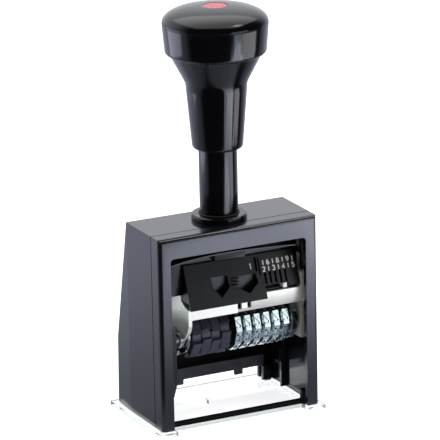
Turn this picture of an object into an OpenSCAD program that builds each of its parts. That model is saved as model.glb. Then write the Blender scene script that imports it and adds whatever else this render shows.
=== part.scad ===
// Hand numbering machine: a plunger presses a steel stirrup down inside a plastic casing.
// The stirrup carries a printing head that turns over on the way, so that the type faces
// leave the ink pad above it and meet the paper below it.
// Millimetres. Z is up, X runs along the wheels, the open window faces -Y.
// Parts are drawn from the casing's front face (y = 0) and the table (z = 0), and each one
// is then moved back by mid_y, which puts the origin under the middle of the whole object.

/* [Casing] */
// Width of the casing across the wheels
case_w = 65; // [62:0.5:72]
// Depth of the casing's flat top
case_top_depth = 27.7; // [27:0.1:32]
// Height of the ridge where the sloping back turns down
ridge_h = 27.8; // [20:0.1:40]
// How much further back the ridge lies than the top's rear edge
ridge_out = 11.4; // [9:0.1:16]
// How much further back the foot of the casing lies than the ridge
foot_out = 0.9; // [0.2:0.1:4]
// Thickness of the casing's walls
wall = 1.6; // [1.2:0.1:2]
// Thickness of the casing's top
top_t = 2; // [1.6:0.1:3]
// Rounding of the casing's front edges
edge_r = 1.5; // [0.8:0.1:1.9]
// Depth of the separate front frame
bezel_depth = 6.8; // [6.2:0.1:8]
// Thickness of the front frame's face
bezel_t = 2; // [1.6:0.1:2.4]
// Width of the front window
window_w = 55.4; // [50:0.1:56]
// Height of the casing's front above the window
top_band = 7.9; // [6:0.1:10]
// Radius in the window's upper corners
window_r = 1.4; // [0.5:0.1:3]
// Height of the low sill across the foot of the window
sill_h = 1.8; // [1:0.1:2.4]
// Thickness of the sill from front to back
sill_t = 1.6; // [1:0.1:2]
// Height of the window in the foot of the back wall
rear_window_h = 6; // [4:0.1:8]

/* [Base plate] */
// Thickness of the clear base plate
base_t = 1.8; // [1.2:0.1:2]
// How far the base plate stands out at each side
base_side = 1.8; // [0.5:0.1:4]
// How far the base plate stands out at the front
base_front = 1.8; // [0.5:0.1:3]
// How far the base plate stands out at the back
base_rear = 2.4; // [0.5:0.1:4]

/* [Plunger] */
// Distance of the plunger's axis behind the casing's front face
plunger_y = 15.8; // [15.5:0.1:17]
// Travel of the plunger
stroke = 24.05; // [22:0.05:26]
// Radius of the plunger's shaft
shaft_r = 7.15; // [6:0.05:7.4]
// Wall of the hollow shaft
shaft_wall = 1.6; // [1.2:0.1:1.8]
// Radius of the collar on the casing's top
collar_r = 10.35; // [9.8:0.05:12]
// Height of the collar above the casing's top
collar_h = 2.1; // [1.5:0.1:4]
// Height of the wiper ring round the foot of the shaft
wiper_h = 0.5; // [0.3:0.1:1]
// Radius of the grip's lower end
grip_r = 9.5; // [9:0.1:11]
// Height of the tapered grip
grip_h = 25.9; // [20:0.1:34]
// Radius of the grip's upper end, where the knob spreads
neck_r = 11.6; // [11:0.1:13]
// Height of the cone between grip and knob
cone_h = 10; // [8:0.1:14]
// How far the cone's upper edge lies inside the knob's side
cone_in = 2.5; // [1.5:0.1:4]
// Largest radius of the knob
knob_r = 19.6; // [18.6:0.1:22]
// Height of the knob's side
knob_h = 11.2; // [8:0.1:14]
// Height of the domed cap
dome_h = 6.7; // [4:0.1:10]
// Radius of the coloured disc in the cap
disc_r = 4.4; // [3:0.1:6]

/* [Printing head] */
// Distance from the axle to the flats of the wheels
wheel_flat = 8.75; // [8:0.05:9.4]
// Height of the raised type on the wheels
type_h = 0.45; // [0.2:0.05:0.8]
// Width of the spacer between the date wheels and the number wheels
spacer_w = 2; // [1:0.1:3.5]
// Width of a number wheel's printing rim
rim_w = 2.5; // [2:0.1:2.8]
// Radius of the ratchet on the side of a number wheel
ratchet_r = 7; // [6:0.1:7.6]
// Width of the driving ratchet at the end of the stack
drive_w = 2.2; // [1.6:0.1:3]
// Radius of the axle
axle_r = 2; // [1.5:0.05:2.4]
// Thickness of the head's side cheeks
cheek_t = 1; // [0.8:0.1:1.4]
// Distance from the axle to the rod behind the wheels
rod_out = 11.3; // [11:0.1:11.6]
// Radius of the rod behind the wheels
rod_r = 1; // [0.8:0.05:1.1]

/* [Stirrup] */
// Thickness of the stirrup's steel
steel_t = 1.5; // [1.2:0.1:1.6]
// Thickness of the stirrup's cross head
cross_t = 2; // [1.5:0.1:3]
// Height of the stirrup's front bar
bar_h = 6; // [5:0.1:7]
// Height of the front bar's lower edge above the axle
bar_up = 8.5; // [8:0.1:9]
// Room for the turning cam between the casing's left wall and the stirrup
cam_room = 11.8; // [9.4:0.1:13]

/* [Cam] */
// Throw of the crank that turns the head over
crank_throw = 6; // [4.5:0.1:6.4]
// Radius of the cam roller
roller_r = 2; // [1.8:0.05:2.2]
// Thickness of the cam plate
cam_t = 2; // [1.5:0.1:2.4]

/* [Ink cartridge] */
// Height of the ink cartridge's tray
tray_h = 2.2; // [2:0.1:3]
// Thickness of the ink pad
pad_t = 1.5; // [1.2:0.1:1.6]
// Tilt of the cartridge's front back from upright
front_tilt = 20.85; // [18:0.05:22]
// Height of the cartridge's sloping front along its slope
front_h = 17; // [15:0.1:17.4]
// Thickness of the scale plate
scale_t = 0.5; // [0.4:0.05:0.6]
// Travel of the selector peg
select_travel = 7.2; // [5:0.1:7.6]
// Width of the selector peg
peg_w = 1.5; // [1.2:0.1:2]

/* [Return spring] */
// Mean radius of the return spring
spring_r = 4.4; // [4.1:0.05:4.6]
// Radius of the return spring's wire
wire_r = 0.45; // [0.35:0.05:0.5]
// Number of curls in the return spring
curls = 16; // [10:1:18]

/* [Clearances] */
// Running clearance between a shaft and its bore
fit = 0.05; // [0.03:0.01:0.08]
// Clearance between bodies that pass each other
gap = 0.3; // [0.25:0.05:0.35]
// Clearance between a seated part and its seat
seat = 0.1; // [0.05:0.01:0.15]

/* [Hidden] */
NUMBER_WHEELS = 6;
DATE_WHEELS = 4;
$fn = 64;
CUT = 1;
FACETS = 10;

// Heights that follow from the stroke and the wheels
type_r = wheel_flat + type_h;
half_type = 1.9;
head_r = norm([type_r, half_type]);
axle_z = stroke + type_r;
pad_z = axle_z + head_r + fit;
bridge_z = pad_z + tray_h + seat;
bridge_t = 1.3;
cross_low = bridge_z + bridge_t + gap + stroke;
cross_top = cross_low + cross_t;
ceiling_t = 0.9;
ceiling_z = cross_top + gap;
case_h = ceiling_z + ceiling_t + top_t;
window_h = case_h - top_band;
bar_z = axle_z + bar_up;
bar_top = bar_z + bar_h;
collar_top = case_h + collar_h;
grip_z = collar_top + wiper_h + gap + stroke;
cone_r = knob_r - cone_in;
neck_z = grip_z + grip_h;
cone_z = neck_z + cone_h;
rim_z = cone_z + knob_h;
dome_z = rim_z + dome_h;

// Depths that follow from the plunger's axis and the wheels
bar_rear = plunger_y - head_r - 2 * gap - seat;
bar_front = bar_rear - steel_t;
ridge_depth = case_top_depth + ridge_out;
foot_depth = ridge_depth + foot_out;
frame_y = plunger_y - 6.3;
frame_t = 0.8;
back_t = 1.4;
frame_rear = case_top_depth - wall - seat;

// Widths that follow from the casing
half_w = case_w / 2;
inner_w = half_w - wall;
stirrup_r = inner_w - gap;
stirrup_l = -inner_w + cam_room;
cheek_l = stirrup_l + steel_t + gap;
cheek_r = stirrup_r - steel_t - gap - cheek_t;
stack_l = cheek_l + cheek_t + gap / 2;
stack_r = cheek_r - gap / 2;
drive_x = stack_r - drive_w;
date_x = stack_l + gap / 2;
pitch = (drive_x - gap / 2 - date_x - spacer_w) / (NUMBER_WHEELS + DATE_WHEELS);
number_x = drive_x - gap / 2 - NUMBER_WHEELS * pitch;
date_end = date_x + DATE_WHEELS * pitch;
frame_l = stirrup_l + steel_t + gap + seat;
frame_r = stirrup_r - steel_t - gap - seat;

// The base plate's outline, and the middle of the whole object from front to back
plate_front = -base_front;
plate_rear = foot_depth + base_rear;
plate_half = half_w + base_side;
mid_y = (min(plate_front, plunger_y - knob_r) + max(plate_rear, plunger_y + knob_r)) / 2;

// The casing's sill and its screw posts
sill_y = 3.4;
post_r = 2;
post_h = 5.2;
post_front_y = 4.3;
post_rear_y = foot_depth - wall - post_r - seat;
post_x = inner_w - post_r - seat;
screw_r = 0.9;
sill_half = post_x - screw_r - 3 * seat;
screw_head_r = 1.8;
rear_window_half = post_x - post_r - seat;

echo(least_spring_gap = spring_gap());

// ---------- helpers ----------

// Draws its children in the object's frame, with the origin under the middle
module placed() {
  translate([0, -mid_y, 0]) children();
}

// Extrudes an outline drawn in (y, z) along X, from x0 to x1
module along_x(x0, x1) {
  translate([x0, 0, 0]) rotate([90, 0, 90]) linear_extrude(height = x1 - x0) children();
}

// A round bar along X about the line (y, z)
module bar_x(x0, x1, r, y = plunger_y, z = axle_z) {
  along_x(x0, x1) translate([y, z]) circle(r = r);
}

// A block between two corners
module block(low, high) {
  translate(low) cube(high - low);
}

// A rectangle between two corners
module panel(low, high) {
  translate(low) square(high - low);
}

// Points on an arc in a plane
function arc(c, r, a0, a1, n) = [
  for (i = [0:n]) c + r * [cos(a0 + (a1 - a0) * i / n), sin(a0 + (a1 - a0) * i / n)]
];

// Depth of the casing's back wall at a height between ridge and top
function back_at(z) =
  ridge_depth - ridge_out * (z - ridge_h) / (case_h - ridge_h);

// Depth of the casing's back wall at a height below the ridge
function foot_at(z) =
  foot_depth - foot_out * (z - base_t) / (ridge_h - base_t);

// ---------- casing ----------

// Plan of the casing, drawn in by a wall, with its two front edges rounded.
// Behind the crease at the top's rear edge, the sides draw in a little.
rear_draw = 0.6;
module case_plan(in = 0) {
  r = max(edge_r - in, 0.2);
  w = half_w - in;
  panel([-w + r, in], [w - r, in + 2 * r]);
  polygon([
    [-w, in + r], [w, in + r], [w, case_top_depth], [w - rear_draw, foot_depth - in],
    [-w + rear_draw, foot_depth - in], [-w, case_top_depth]
  ]);
  for (side = [-1, 1]) translate([side * (w - r), in + r]) circle(r = r);
}

// Side view of the casing, drawn in by a wall, with its top front edge rounded
module case_side(in = 0, in_top = 0, low = base_t) {
  r = max(edge_r - in, 0.2);
  h = case_h - in_top;
  polygon([
    [in, low], [in, h - r], [in + r, h - r], [in + r, h], [back_at(h) - in, h],
    [ridge_depth - in, ridge_h], [foot_depth - in, base_t], [foot_depth - in, low]
  ]);
  translate([in + r, h - r]) circle(r = r);
}

module case_solid(in = 0, in_top = 0, low = base_t) {
  intersection() {
    translate([0, 0, low]) linear_extrude(height = case_h - low) case_plan(in);
    along_x(-half_w, half_w) case_side(in, in_top, low);
  }
}

// A post with a pilot hole for a screw from below, in a corner of the casing
module screw_post(x, y) {
  translate([x, y, base_t]) difference() {
    cylinder(r = post_r, h = post_h);
    translate([0, 0, -CUT]) cylinder(r = screw_r + seat / 4, h = post_h);
  }
}

// The web that joins a post to the wall beside it
module post_web(side, y) {
  low = [side > 0 ? post_x + screw_r + seat : -inner_w - seat, y - 0.6, base_t];
  high = [side > 0 ? inner_w + seat : -post_x - screw_r - seat, y + 0.6, base_t + post_h];
  block(low, high);
}

// A stiffening rib stands on the inside of the right wall
rib_out = 1.8;
module rear_shell() {
  color("#1c1c20") placed() {
    difference() {
      case_solid();
      case_solid(wall, top_t, base_t - CUT);
      block([-case_w, -CUT, -CUT], [case_w, bezel_depth, case_h + CUT]);
      block([-rear_window_half, case_top_depth, -CUT],
            [rear_window_half, foot_depth + CUT, base_t + rear_window_h]);
      translate([0, plunger_y, 0]) cylinder(r = sleeve_r + fit, h = case_h + CUT);
    }
    for (side = [-1, 1]) {
      screw_post(side * post_x, post_rear_y);
      post_web(side, post_rear_y);
    }
    block([inner_w - rib_out, case_top_depth - 3.4, base_t],
          [inner_w + seat, case_top_depth - 2.2, base_t + ridge_h]);
  }
}

// Outline of the front window
module window_side(low) {
  w = window_w / 2;
  panel([-w, low], [w, window_h - window_r]);
  panel([-w + window_r, low], [w - window_r, window_h]);
  for (side = [-1, 1]) translate([side * (w - window_r), window_h - window_r]) circle(r = window_r);
}

groove_w = 0.35;
groove_d = 0.5;
module front_bezel() {
  color("#26262b") placed() {
    difference() {
      case_solid();
      difference() {
        case_solid(wall, top_t, base_t - CUT);
        block([-case_w, -CUT, -CUT], [case_w, bezel_t, case_h]);
      }
      block([-case_w, bezel_depth, -CUT], [case_w, foot_depth + CUT, case_h + CUT]);
      translate([0, bezel_t + CUT, 0]) rotate([90, 0, 0])
        linear_extrude(height = bezel_t + 2 * CUT) window_side(-CUT);
      difference() {
        block([-case_w, bezel_depth - groove_w, -CUT], [case_w, bezel_depth + CUT, case_h + CUT]);
        case_solid(groove_d, groove_d, -CUT);
      }
      translate([0, plunger_y, case_h - top_t - CUT]) cylinder(r = sleeve_r + fit, h = top_t + 2 * CUT);
    }
    for (side = [-1, 1]) {
      screw_post(side * post_x, post_front_y);
      post_web(side, post_front_y);
    }
    block([-sill_half, sill_y, base_t], [sill_half, sill_y + sill_t, base_t + sill_h]);
  }
}

// The rail across the back above the rear window, with its small hanging tabs and with
// ribs that hold it to the back wall
rail_h = 4.6;
rail_t = 1.4;
rail_in = 3;
rail_y = foot_depth - wall - rail_in;
tab_h = 2;
tab_w = 3.4;
module rear_rail() {
  low = base_t + rear_window_h - 0.4;
  high = low + rail_h;
  w = rear_window_half + 0.6;
  color("#3c3c46") placed() {
    block([-w, rail_y, low], [w, rail_y + rail_t, high]);
    for (x = [-0.31, 0.61]) {
      block([x * w - tab_w / 2, rail_y, low - tab_h], [x * w + tab_w / 2, rail_y + rail_t, low + tab_h]);
    }
    for (x = [-w, -rail_t / 2, w - rail_t]) {
      along_x(x, x + rail_t) polygon([
        [rail_y, low + 0.5], [rail_y, high], [foot_at(high) - wall, high],
        [foot_at(low + 0.5) - wall, low + 0.5]
      ]);
    }
  }
}

// ---------- base plate ----------

// The printing window is stepped at the back: deeper on the number wheels' side
print_front = sill_y + sill_t + gap;
print_rear = plunger_y + 11.8;
print_rear_left = plunger_y + 8.3;
print_half = window_w / 2;
print_step = number_x - 2.6;
module base_plate() {
  notch = sill_y - 0.4;
  color("#e6f0f2", 0.5) placed() difference() {
    block([-plate_half, plate_front, 0], [plate_half, plate_rear, base_t]);
    block([-window_w / 2 + 0.6, plate_front - CUT, -CUT], [window_w / 2 - 0.6, notch, base_t + CUT]);
    block([-print_half, print_front, -CUT], [print_step, print_rear_left, base_t + CUT]);
    block([print_step - CUT, print_front, -CUT], [stack_r + gap, print_rear, base_t + CUT]);
    for (x = [-post_x, post_x]) for (y = [post_front_y, post_rear_y]) translate([x, y, 0]) {
      translate([0, 0, -CUT]) cylinder(r = screw_r + seat, h = base_t + 2 * CUT);
      translate([0, 0, -CUT]) cylinder(r = screw_head_r + seat, h = CUT + base_t / 2);
    }
  }
}

// Four pan head screws that hold the base plate under the casing
module base_screws() {
  head_low = 0.15;
  color("#c8c8c8") placed()
    for (x = [-post_x, post_x]) for (y = [post_front_y, post_rear_y]) translate([x, y, 0]) {
      difference() {
        translate([0, 0, head_low]) cylinder(r = screw_head_r, h = base_t / 2 - head_low);
        block([-screw_head_r * 0.7, -0.2, 0], [screw_head_r * 0.7, 0.2, head_low + 0.3]);
      }
      translate([0, 0, base_t / 2 - seat]) cylinder(r = screw_r, h = post_h - 1);
    }
}

// ---------- collar and wiper ----------

sleeve_r = shaft_r + 1.55;
module shaft_collar() {
  chamfer = 0.4;
  color("#202024") placed() translate([0, plunger_y, 0]) rotate_extrude() polygon([
    [shaft_r + fit, ceiling_z], [sleeve_r, ceiling_z], [sleeve_r, case_h], [collar_r, case_h],
    [collar_r, collar_top - chamfer], [collar_r - chamfer, collar_top], [shaft_r + fit, collar_top]
  ]);
}

module wiper_ring() {
  lip = 0.5;
  color("#101010") placed() translate([0, plunger_y, collar_top]) rotate_extrude() polygon([
    [shaft_r + fit, 0], [shaft_r + lip, 0], [shaft_r + lip, wiper_h * 0.6],
    [shaft_r + lip * 0.6, wiper_h], [shaft_r + fit, wiper_h]
  ]);
}

// ---------- cartridge frame, cartridge and scale ----------

ledge_z = pad_z - seat - 1.2;
hood_z = window_h - 4.4;
hood_t = 0.6;
hood_y = 4.4;
hood_tilt = 1;
hood_bulge = 1.9;
hood_l = -inner_w + 3.4;
hood_r = frame_r - 1;
guide_r = spring_r - wire_r - 0.45;
shaft_slot = sqrt(pow(shaft_r + gap, 2) - pow(plunger_y - frame_y - frame_t, 2)) + gap;
// The room that the plunger's shaft needs in the front wall as it comes down
module shaft_way() {
  block([-shaft_slot, plunger_y - shaft_r - gap, bridge_z + bridge_t + 1],
        [shaft_slot, frame_y + frame_t + CUT, ceiling_z]);
}

// The frame's upper rim bows upwards between the side walls and turns down at its right end
hood_steps = 16;
function hood_at(s) = [
  hood_l + (hood_r - 2 - hood_l) * s, hood_z + hood_tilt * s + hood_bulge * sin(180 * pow(s, 0.75))
];
module hood_rim() {
  middle = concat([for (i = [0:hood_steps]) hood_at(i / hood_steps)],
    arc([hood_r - 2, hood_z + hood_tilt - 2], 2, 70, 0, 4), [[hood_r, hood_z - 2.6]]);
  inner = concat([for (i = [0:hood_steps]) hood_at(i / hood_steps) - [0, hood_t]],
    arc([hood_r - 2, hood_z + hood_tilt - 2], 2 - hood_t, 70, 0, 4), [[hood_r - hood_t, hood_z - 2.6]]);
  count = len(inner);
  translate([0, frame_y + frame_t, 0]) rotate([90, 0, 0])
    linear_extrude(height = frame_y + frame_t - hood_y)
      polygon(concat(middle, [for (i = [count - 1:-1:0]) inner[i]]));
}

module cartridge_frame() {
  way = shaft_slot + 0.9;
  color("#141416") placed() {
    difference() {
      union() {
        block([frame_l, hood_y, ceiling_z], [frame_r, frame_rear, ceiling_z + ceiling_t]);
        block([frame_l, frame_y, bridge_z], [frame_r, frame_y + frame_t, ceiling_z + ceiling_t]);
        block([frame_l, frame_rear - back_t, ledge_z], [frame_r, frame_rear, ceiling_z + ceiling_t]);
        block([hood_l, frame_y, bar_top + 2.6], [frame_l + seat, frame_y + frame_t, ceiling_z + ceiling_t]);
        block([-way, plunger_y - shaft_r - gap - 0.9, front_top_z + 2 * seat],
              [way, frame_y + seat, ceiling_z + ceiling_t]);
        hood_rim();
      }
      translate([0, plunger_y, ceiling_z - CUT]) cylinder(r = sleeve_r + fit, h = ceiling_t + 2 * CUT);
      shaft_way();
    }
    block([frame_l, frame_y, bridge_z], [frame_r, frame_rear, bridge_z + bridge_t]);
    block([frame_l, frame_rear - back_t - 1.2, ledge_z], [frame_r, frame_rear, pad_z - seat]);
    translate([0, plunger_y, bridge_z]) cylinder(r = guide_r, h = bridge_t + 12);
  }
}

// The cartridge's sloping front starts low, in front of the stirrup's bar, and leans back
front_l = stirrup_l + 0.3;
front_r = frame_r - 1.7;
front_low_z = bar_top - 1.9;
front_low_y = bar_front - 1.8;
front_top_z = front_low_z + front_h * cos(front_tilt);
front_dir = [sin(front_tilt), cos(front_tilt)];
front_margin = 0.65;
block_low = bar_top + gap + seat;
block_rear = frame_y - seat;
tray_l = frame_l + 1.1;
tray_r = front_r - seat;
tray_front = bar_rear + 2 * gap;
tray_rear = frame_rear - back_t - 2 * seat;

// Moves a drawing made on the sloping front, u along X and v up the slope from a little
// above its lower edge, to its place, with the children's own z pointing out of the front
module on_front() {
  translate([0, front_low_y, front_low_z]) rotate([90 - front_tilt, 0, 0])
    translate([0, front_margin, 0]) children();
}

// The two finger hollows, pointed at their lower ends, with an upright floor
floor_y = plunger_y - shaft_r - gap - 0.7;
module finger_hollows() {
  left = [[-8.6, 10.6], [-1.9, 10.5], [-1.6, 6.1], [-5.35, 2.5], [-8.2, 6.4]];
  right = [[-1, 9.3], [9.6, 9.5], [10.2, 5.9], [6.1, 2.4], [1.7, 5.1], [-1, 5.5]];
  intersection() {
    on_front() translate([0, 0, -8]) linear_extrude(height = 8 + CUT) {
      polygon(left);
      polygon(right);
    }
    block([front_l, front_low_y - CUT, front_low_z], [front_r, floor_y, ceiling_z]);
  }
}

// The ribbed catch inside the right finger hollow
module catch_ribs() {
  intersection() {
    on_front() for (i = [0:2]) block([-1.2, 5.9 + 1.2 * i, -6], [3.4, 6.5 + 1.2 * i, -1]);
    block([front_l, front_low_y, front_low_z], [front_r, floor_y + seat, ceiling_z]);
  }
}

scale_u = number_x + 10.2;
peg_in = 5.9;
peg_x = front_r - peg_in;
notch_u = peg_x - select_travel - peg_w / 2 - gap;
notch_v = 4.3;
scale_top = front_h - front_margin - 0.5;
guide_in = 3.2;
guide_y = block_rear - guide_in;
guide_z = block_low + 0.3;
guide_h = 1.8;
slot_pitch = (select_travel + 1.2) / 4;
slot_w = 0.85;
// Middle of a slot in the scale plate
function slot_u(i) = peg_x + 0.7 - i * slot_pitch;
module ink_cartridge() {
  color("#26262a") placed() {
    difference() {
      along_x(front_l, front_r) polygon([
        [front_low_y, front_low_z],
        [front_low_y + front_h * front_dir[0], front_low_z + front_h * front_dir[1]],
        [block_rear, front_low_z + front_h * front_dir[1]],
        [block_rear, block_low], [bar_front - gap, block_low], [bar_front - gap, front_low_z]
      ]);
      finger_hollows();
      shaft_way();
      block([notch_u, front_low_y - CUT, front_low_z - CUT],
            [front_r + CUT, block_rear + CUT, guide_z + guide_h + gap]);
      on_front() {
        block([notch_u, -2, -9], [front_r + CUT, notch_v, CUT]);
        block([scale_u - seat, notch_v - CUT, -scale_t], [front_r + CUT, scale_top + seat, CUT]);
        block([number_x + 4.6, 10.1, -0.9], [number_x + 9.1, 15.4, CUT]);
        block([number_x + 9.5, 8.4, -0.9], [number_x + 10, 15, CUT]);
        for (i = [0:4]) {
          block([slot_u(i) - slot_w / 2, notch_v + 0.2, -3], [slot_u(i) + slot_w / 2, notch_v + 4.9, CUT]);
        }
      }
    }
    catch_ribs();
    difference() {
      block([notch_u - 1, guide_y, block_low], [front_r, block_rear, block_low + 5]);
      block([notch_u - seat, guide_y - CUT, guide_z], [front_r - 0.8, block_rear - 0.9, guide_z + guide_h]);
    }
    difference() {
      union() {
        block([tray_l, tray_front, pad_z + seat], [tray_r, block_rear, block_low + seat]);
        block([tray_l, tray_front, pad_z + seat], [tray_r, tray_rear, pad_z + tray_h]);
      }
      block([tray_l + 1, tray_front + 1.2, pad_z], [tray_r - 1, tray_rear - 1, pad_z + pad_t]);
    }
  }
}

module ink_pad() {
  color("#2a2438") placed()
    block([tray_l + 1 + seat, tray_front + 1.2 + seat, pad_z],
          [tray_r - 1 - seat, tray_rear - 1 - seat, pad_z + pad_t]);
}

// The scale plate with its row of five slots over the selector
module scale_plate() {
  color("#2c2c30") placed() on_front() difference() {
    union() {
      block([scale_u, notch_v, -scale_t], [front_r, scale_top, 0]);
      block([peg_x + peg_w / 2 + 2 * gap, notch_v - 1.3, -scale_t], [front_r, notch_v + seat, 0]);
    }
    for (i = [0:4]) {
      block([slot_u(i) - slot_w / 2, notch_v + 0.2, -scale_t - CUT],
            [slot_u(i) + slot_w / 2, notch_v + 4.9, CUT]);
    }
  }
}

module selector_peg() {
  front = bar_front + seat;
  low = guide_z + seat;
  high = guide_z + guide_h - seat;
  color("#f2f2f2") placed() {
    block([peg_x - peg_w / 2, front, low - seat], [peg_x + peg_w / 2, front + 1.1, high + seat]);
    block([peg_x - peg_w / 2 + seat, front + 1, low], [peg_x + peg_w / 2, block_rear - 0.9 - gap, low + 0.8]);
  }
}

// ---------- cam ----------

// Angle the head has turned, and the crank pin's place, at a part of the stroke from 0 to 1.
// The pin starts in front of the axle and ends behind it, while the axle comes down.
function pin_at(t) = [
  plunger_y - crank_throw * cos(180 * t),
  axle_z - stroke * t - crank_throw * sin(180 * t)
];
// Direction of the pin's path there
function pin_dir(t) = let (
  dy = crank_throw * PI * sin(180 * t),
  dz = -stroke - crank_throw * PI * cos(180 * t)
) [dy, dz] / norm([dy, dz]);

cam_steps = 24;
slot_r = roller_r + gap / 2;
cam_x = stirrup_l - 2 * steel_t - 2 * gap - 1.4 - cam_t + seat;
module cam_slot() {
  function edge(t, side) = pin_at(t) + side * slot_r * [-pin_dir(t)[1], pin_dir(t)[0]];
  polygon(concat(
    [for (i = [0:cam_steps]) edge(i / cam_steps, 1)],
    [for (i = [cam_steps:-1:0]) edge(i / cam_steps, -1)]
  ));
  for (t = [0, 1]) translate(pin_at(t)) circle(r = slot_r);
}

module cam_plate() {
  margin = 3.2;
  front = plunger_y - crank_throw - roller_r - margin;
  rear = plunger_y + crank_throw + roller_r + margin;
  low = axle_z - stroke - roller_r - margin;
  high = axle_z + roller_r + margin;
  stud_r = 1.6;
  color("#17171a") placed() {
    difference() {
      along_x(cam_x, cam_x + cam_t) polygon([
        [front, high], [rear, high], [rear, low], [front + 7, low], [front, low + 14]
      ]);
      along_x(cam_x - CUT, cam_x + cam_t + CUT) cam_slot();
    }
    for (p = [[front + stud_r, low + 16], [rear - stud_r, low + stud_r], [rear - stud_r, high - stud_r]])
      bar_x(-inner_w, cam_x + seat, stud_r, p[0], p[1]);
  }
}

// ---------- plunger ----------

bore_r = shaft_r - shaft_wall;
plug_t = 3;
spring_top = neck_z - plug_t;
module plunger_shaft() {
  color("#18181c") placed() translate([0, plunger_y, cross_top]) difference() {
    cylinder(r = shaft_r, h = neck_z + 5 - cross_top);
    translate([0, 0, -CUT]) cylinder(r = bore_r, h = neck_z + 5 - cross_top + 2 * CUT);
  }
}

// The plug that the return spring pushes up against
module spring_cap() {
  color("#b0b0b0") placed() translate([0, plunger_y, spring_top]) cylinder(r = bore_r, h = plug_t);
}

module handle_grip() {
  round = 1.6;
  shell = 2.2;
  shoulder = 1.5;
  color("#1a1a1e") placed() translate([0, plunger_y, 0]) rotate_extrude() polygon(concat(
    [[shaft_r, grip_z]],
    arc([grip_r - round, grip_z + round], round, -90, -8, 6),
    [[neck_r - 0.15, neck_z - 1.2], [neck_r + 0.5, neck_z + 0.4]],
    [[cone_r, cone_z]],
    arc([cone_r + 0.2, cone_z + shoulder], shoulder, -60, -8, 4),
    [[knob_r, rim_z], [knob_r - shell, rim_z], [knob_r - shell, cone_z + shoulder],
     [cone_r - shell - 0.6, cone_z], [neck_r - shell, neck_z + 1], [shaft_r, neck_z + 1]]
  ));
}

// The domed cap fills the knob's open top and carries the coloured disc
cap_power = 2.35;
dome_steps = 16;
disc_sink = 0.5;
function dome(t) = [
  knob_r * pow(1 - pow(t, cap_power), 1 / cap_power), rim_z + dome_h * t
];
module handle_cap() {
  skirt = 3;
  color("#26262a") placed() translate([0, plunger_y, 0]) difference() {
    rotate_extrude() polygon(concat(
      [[0, rim_z - skirt], [knob_r - 2.2, rim_z - skirt], [knob_r - 2.2, rim_z]],
      [for (i = [0:dome_steps - 1]) dome(sin(90 * i / dome_steps))],
      [[0, dome_z]]
    ));
    translate([0, 0, dome_z - 2 * disc_sink]) cylinder(r = disc_r, h = 3 * disc_sink);
  }
}

module handle_disc() {
  color("#e2474c") placed() translate([0, plunger_y, dome_z - 2 * disc_sink])
    cylinder(r = disc_r, h = 1.6 * disc_sink);
}

// ---------- stirrup ----------

boss_r = 5.2;
arm_rear = plunger_y + 5;
cross_front = frame_y + frame_t + gap;
cross_rear = frame_rear - back_t - gap;

// Left side of the stirrup in (y, z): an arm that bulges forwards below the bar, and runs
// past the axle up to the cross head
module left_arm() {
  translate([plunger_y, axle_z]) circle(r = boss_r);
  polygon([
    [bar_front, bar_z], [bar_front, bar_z + 4], [bar_front + 3, bar_z + 4.6],
    [cross_front - 0.2, bar_z + 6.4], [cross_front, bar_z + 12], [cross_front, cross_top],
    [arm_rear, cross_top], [arm_rear, axle_z + 4], [plunger_y + boss_r, axle_z],
    [plunger_y - 1.5, axle_z - boss_r + 0.3], [plunger_y - 5, axle_z - 1.4],
    [bar_front + 3, axle_z + 1.4], [bar_front + 0.9, axle_z + 4], [bar_front, axle_z + 6.4]
  ]);
}

// The rounded lug that stands up from the right end of the bar, in (y, z)
lug_r = 1.5;
lug_in = 1.7;
module lug() {
  middle = [bar_front + lug_r, bar_top + 4.4];
  translate(middle) circle(r = lug_r);
  polygon([
    [bar_front, bar_top - 1], [bar_front, middle[1]], [middle[0] + lug_r, middle[1]],
    [middle[0] + lug_r + 0.8, bar_top], [middle[0] + lug_r, bar_top - 1]
  ]);
}

// Right side of the stirrup in (y, z): a broad plate with a rounded lug at the front
module right_arm() {
  panel_low = axle_z - type_r + 2 + gap;
  lug();
  polygon([
    [plunger_y - 8, panel_low], [plunger_y - 8, bar_z - 2], [bar_front, bar_z],
    [bar_front, bar_top], [bar_front + 2 * lug_r + 0.8, bar_top], [cross_front, bar_top + 6],
    [cross_front, cross_top],
    [arm_rear, cross_top], [arm_rear, axle_z], [plunger_y + 7.5, axle_z - 2],
    [plunger_y + 7.5, panel_low]
  ]);
}

notch_x = number_x - 0.5;
notch_w = 5.6;
module stirrup() {
  lip_h = 2;
  bore = axle_r + fit;
  color("#d8d8d6") placed() difference() {
    union() {
      along_x(stirrup_l, stirrup_l + steel_t) left_arm();
      along_x(stirrup_r - steel_t, stirrup_r) right_arm();
      along_x(stirrup_r - steel_t - lug_in, stirrup_r) lug();
      block([stirrup_l, cross_front, cross_low], [stirrup_r, cross_rear, cross_top]);
      along_x(stirrup_l, notch_x + 0.1)
        panel([bar_front, bar_z], [bar_rear, bar_z + 4]);
      along_x(notch_x, stirrup_r) polygon([
        [bar_front, bar_z + lip_h], [bar_front, bar_top], [bar_rear, bar_top],
        [bar_rear, bar_z], [bar_front + 0.7, bar_z]
      ]);
    }
    difference() {
      block([notch_x, bar_front - CUT, bar_z + 1.2], [notch_x + notch_w, bar_rear + CUT, bar_top + CUT]);
      block([notch_x + 1.8, bar_front + 0.3, bar_z], [notch_x + 4.2, bar_rear, bar_top - 1.6]);
    }
    translate([0, plunger_y, cross_low - CUT]) cylinder(r = bore_r, h = cross_t + 2 * CUT);
    bar_x(stirrup_l - CUT, stirrup_r + CUT, bore);
  }
}

// ---------- head ----------

crank_x = stirrup_l - gap - 1.4;
clip_t = 0.7;
module axle() {
  color("#b8b8ba") placed() bar_x(crank_x - clip_t - 0.4, stirrup_r - seat, axle_r);
}

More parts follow.
